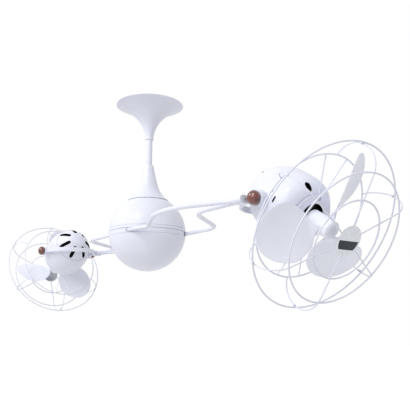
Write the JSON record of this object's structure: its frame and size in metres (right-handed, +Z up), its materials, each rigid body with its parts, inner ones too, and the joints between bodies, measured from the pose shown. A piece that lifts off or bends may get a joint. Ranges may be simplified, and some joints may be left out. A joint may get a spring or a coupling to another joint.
{
  "type": "ceiling fan",
  "caption": "Ceiling fan whose ball hub turns on a short rod and carries opposite bent arms, each ending in a yoke with a tilting caged fan head.",
  "frame": {"origin": "middle of the ceiling bracket's top face, where it meets the ceiling", "axes": "+Z up, +X along the arm to the right head, with the left head along -X"},
  "size_m": [1.3928, 0.313, 0.5408],
  "materials": {
    "white_lacquer": "satin white lacquer",
    "white_plastic": "white moulded plastic",
    "chrome": "polished",
    "knob_wood": "reddish brown lacquer",
    "zinc_steel": "zinc plated",
    "black_plastic": "black moulded",
    "black_rubber": "matt black",
    "copper_winding": "enamelled copper"
  },
  "bodies": {
    "ceiling_mount": {"ceiling_bracket": "zinc_steel", "hanger_ball": "black_plastic", "cross_pins": "zinc_steel", "canopy": "white_lacquer", "canopy_collar": "white_lacquer", "set_screws": "zinc_steel", "downrod": "white_lacquer", "coupler": "zinc_steel", "bell_cover": "white_lacquer", "main_axle": "zinc_steel", "axle_nut": "zinc_steel", "collector_drum": "copper_winding", "bearing_races": "zinc_steel"},
    "carousel": {"upper_shell": "white_lacquer", "lower_shell": "white_lacquer", "hub_casting": "white_lacquer", "bearings": "zinc_steel", "brush_block": "black_plastic", "tube_grommets": "black_rubber", "right_outer_tube": "white_lacquer", "right_inner_tube": "white_lacquer", "right_yoke": "white_lacquer", "left_outer_tube": "white_lacquer", "left_inner_tube": "white_lacquer", "left_yoke": "white_lacquer"},
    "right_arm_knob_body": {"right_arm_knob": "knob_wood"},
    "right_free_knob_body": {"right_free_knob": "knob_wood"},
    "left_arm_knob_body": {"left_arm_knob": "knob_wood"},
    "left_free_knob_body": {"left_free_knob": "knob_wood"},
    "right_head": {"right_motor_shell": "white_lacquer", "right_vent_cap": "white_lacquer", "right_motor_bolts": "zinc_steel", "right_stator": "copper_winding", "right_pivot_studs": "zinc_steel", "right_rear_guard": "white_lacquer", "right_guard_screws": "zinc_steel", "right_front_guard": "white_lacquer", "right_guard_ferrules": "white_lacquer", "right_badge": "chrome"},
    "right_fan": {"right_rotor": "zinc_steel", "right_hub": "white_plastic", "right_blade_1": "white_plastic", "right_blade_2": "white_plastic", "right_blade_3": "white_plastic"},
    "left_head": {"left_motor_shell": "white_lacquer", "left_vent_cap": "white_lacquer", "left_motor_bolts": "zinc_steel", "left_stator": "copper_winding", "left_pivot_studs": "zinc_steel", "left_rear_guard": "white_lacquer", "left_guard_screws": "zinc_steel", "left_front_guard": "white_lacquer", "left_guard_ferrules": "white_lacquer", "left_badge": "chrome"},
    "left_fan": {"left_rotor": "zinc_steel", "left_hub": "white_plastic", "left_blade_1": "white_plastic", "left_blade_2": "white_plastic", "left_blade_3": "white_plastic"}
  },
  "joints": [
    {"name": "carousel_spin", "type": "hinge", "parent": "ceiling_mount", "child": "carousel", "pos_m": [0, 0, -0.342], "axis": [0, 0, 1], "continuous": true},
    {"name": "right_head_tilt", "type": "hinge", "parent": "carousel", "child": "right_head", "pos_m": [0.505, 0, -0.346], "axis": [0, 1, 0], "range_deg": [-122.5, 57.5]},
    {"name": "right_blade_spin", "type": "hinge", "parent": "right_head", "child": "right_fan", "pos_m": [0.505, 0, -0.346], "axis": [0.8434, 0, -0.5373], "continuous": true},
    {"name": "right_arm_knob_turn", "type": "hinge", "parent": "right_head", "child": "right_arm_knob_body", "pos_m": [0.505, 0, -0.346], "axis": [0, -1, 0], "range_deg": [0, 360]},
    {"name": "right_free_knob_turn", "type": "hinge", "parent": "right_head", "child": "right_free_knob_body", "pos_m": [0.505, 0, -0.346], "axis": [0, 1, 0], "range_deg": [0, 360]},
    {"name": "left_head_tilt", "type": "hinge", "parent": "carousel", "child": "left_head", "pos_m": [-0.505, 0, -0.346], "axis": [0, -1, 0], "range_deg": [-113.5, 66.5]},
    {"name": "left_blade_spin", "type": "hinge", "parent": "left_head", "child": "left_fan", "pos_m": [-0.505, 0, -0.346], "axis": [-0.9171, 0, -0.3987], "continuous": true},
    {"name": "left_arm_knob_turn", "type": "hinge", "parent": "left_head", "child": "left_arm_knob_body", "pos_m": [-0.505, 0, -0.346], "axis": [0, 1, 0], "range_deg": [0, 360]},
    {"name": "left_free_knob_turn", "type": "hinge", "parent": "left_head", "child": "left_free_knob_body", "pos_m": [-0.505, 0, -0.346], "axis": [0, -1, 0], "range_deg": [0, 360]}
  ]
}
